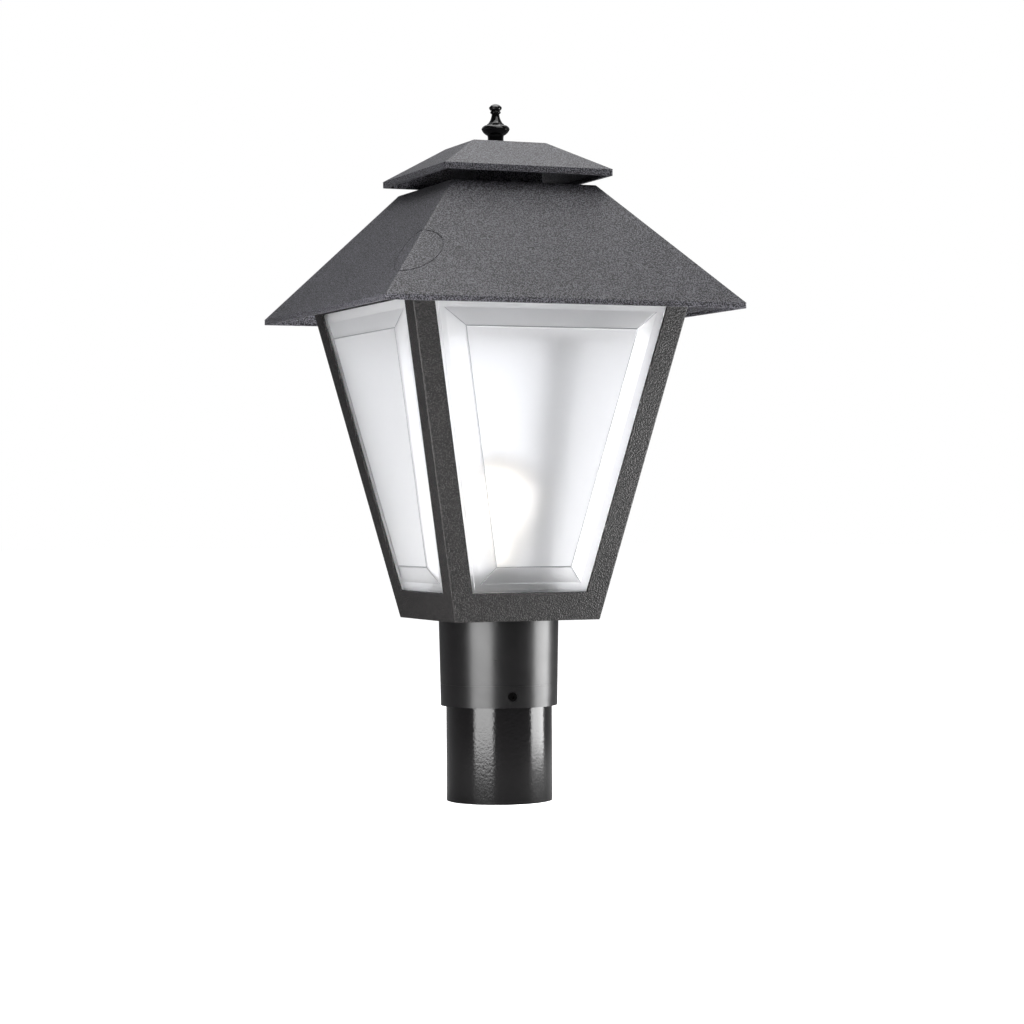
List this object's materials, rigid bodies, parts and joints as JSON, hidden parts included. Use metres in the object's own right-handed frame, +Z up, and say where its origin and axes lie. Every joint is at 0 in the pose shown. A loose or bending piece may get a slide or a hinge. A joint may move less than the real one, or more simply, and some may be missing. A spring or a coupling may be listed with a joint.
{
  "type": "post top lantern",
  "caption": "Square tapered post top lantern with frosted panels, a lift-off hood with vent cap and finial, on a fitter clamped to a short round post.",
  "frame": {"origin": "on the lantern's upright axis, at the cut lower end of the post stub", "axes": "+Z up along the post, -Y out of the front panel, +X out of the right panel"},
  "size_m": [0.2666, 0.2666, 0.5009],
  "materials": {
    "post_paint": "semi-gloss black powder coat on a steel tube",
    "fitter_plastic": "smooth satin black moulding",
    "frame_plastic": "black moulding with a leather-like grain",
    "hood_plastic": "charcoal black moulding with a fine sand grain",
    "frosted_acrylic": "frosted white translucent acrylic",
    "zinc_steel": "bright zinc plate",
    "seal_rubber": "black rubber",
    "finial_gloss": "gloss black enamel",
    "holder_phenolic": "black phenolic moulding",
    "shell_brass": "plain stamped brass",
    "lamp_solder": "tinned contact",
    "lamp_vitrite": "black glassy insulator",
    "lamp_aluminium": "rolled aluminium",
    "lamp_frosted_glass": "inside frosted glass"
  },
  "bodies": {
    "post": {"post_stub": "post_paint"},
    "lantern": {"fitter": "fitter_plastic", "set_screws": "zinc_steel", "fitter_screws": "zinc_steel", "lantern_frame": "frame_plastic", "panel_front": "frosted_acrylic", "panel_right": "frosted_acrylic", "panel_back": "frosted_acrylic", "panel_left": "frosted_acrylic", "panel_clips": "zinc_steel", "clip_screws": "zinc_steel", "crossbar": "zinc_steel", "crossbar_screws": "zinc_steel", "hood_rod": "zinc_steel", "rod_nuts": "zinc_steel", "lampholder": "holder_phenolic", "lampholder_shell": "shell_brass", "lampholder_contact": "shell_brass", "lampholder_screws": "zinc_steel", "lead_bushing": "seal_rubber"},
    "hood": {"roof": "hood_plastic", "vent_cap": "hood_plastic"},
    "seal_washer": {"finial_washer": "seal_rubber"},
    "finial": {"finial": "finial_gloss"},
    "lamp": {"lamp_contact": "lamp_solder", "lamp_insulator": "lamp_vitrite", "lamp_cap": "lamp_aluminium", "lamp_glass": "lamp_frosted_glass"}
  },
  "joints": [
    {"name": "lantern_turn", "type": "hinge", "parent": "post", "child": "lantern", "pos_m": [0, 0, 0.1], "axis": [0, 0, 1], "range_deg": [-180, 180]},
    {"name": "hood_lift", "type": "slide", "parent": "lantern", "child": "hood", "axis": [0, 0, 1], "range_m": [0, 0.14]},
    {"name": "finial_rise", "type": "slide", "parent": "hood", "child": "seal_washer", "axis": [0, 0, 1], "range_m": [0, 0.0122]},
    {"name": "finial_turn", "type": "hinge", "parent": "seal_washer", "child": "finial", "pos_m": [0, 0, 0.48], "axis": [0, 0, 1], "range_deg": [0, 3420]},
    {"name": "lamp_lift", "type": "slide", "parent": "lantern", "child": "lamp", "axis": [0, 0, 1], "range_m": [0, 0.028]}
  ],
  "couplings": [
    {"joint": "finial_rise", "follows": "finial_turn", "m_per_rad": 0.00020213}
  ]
}
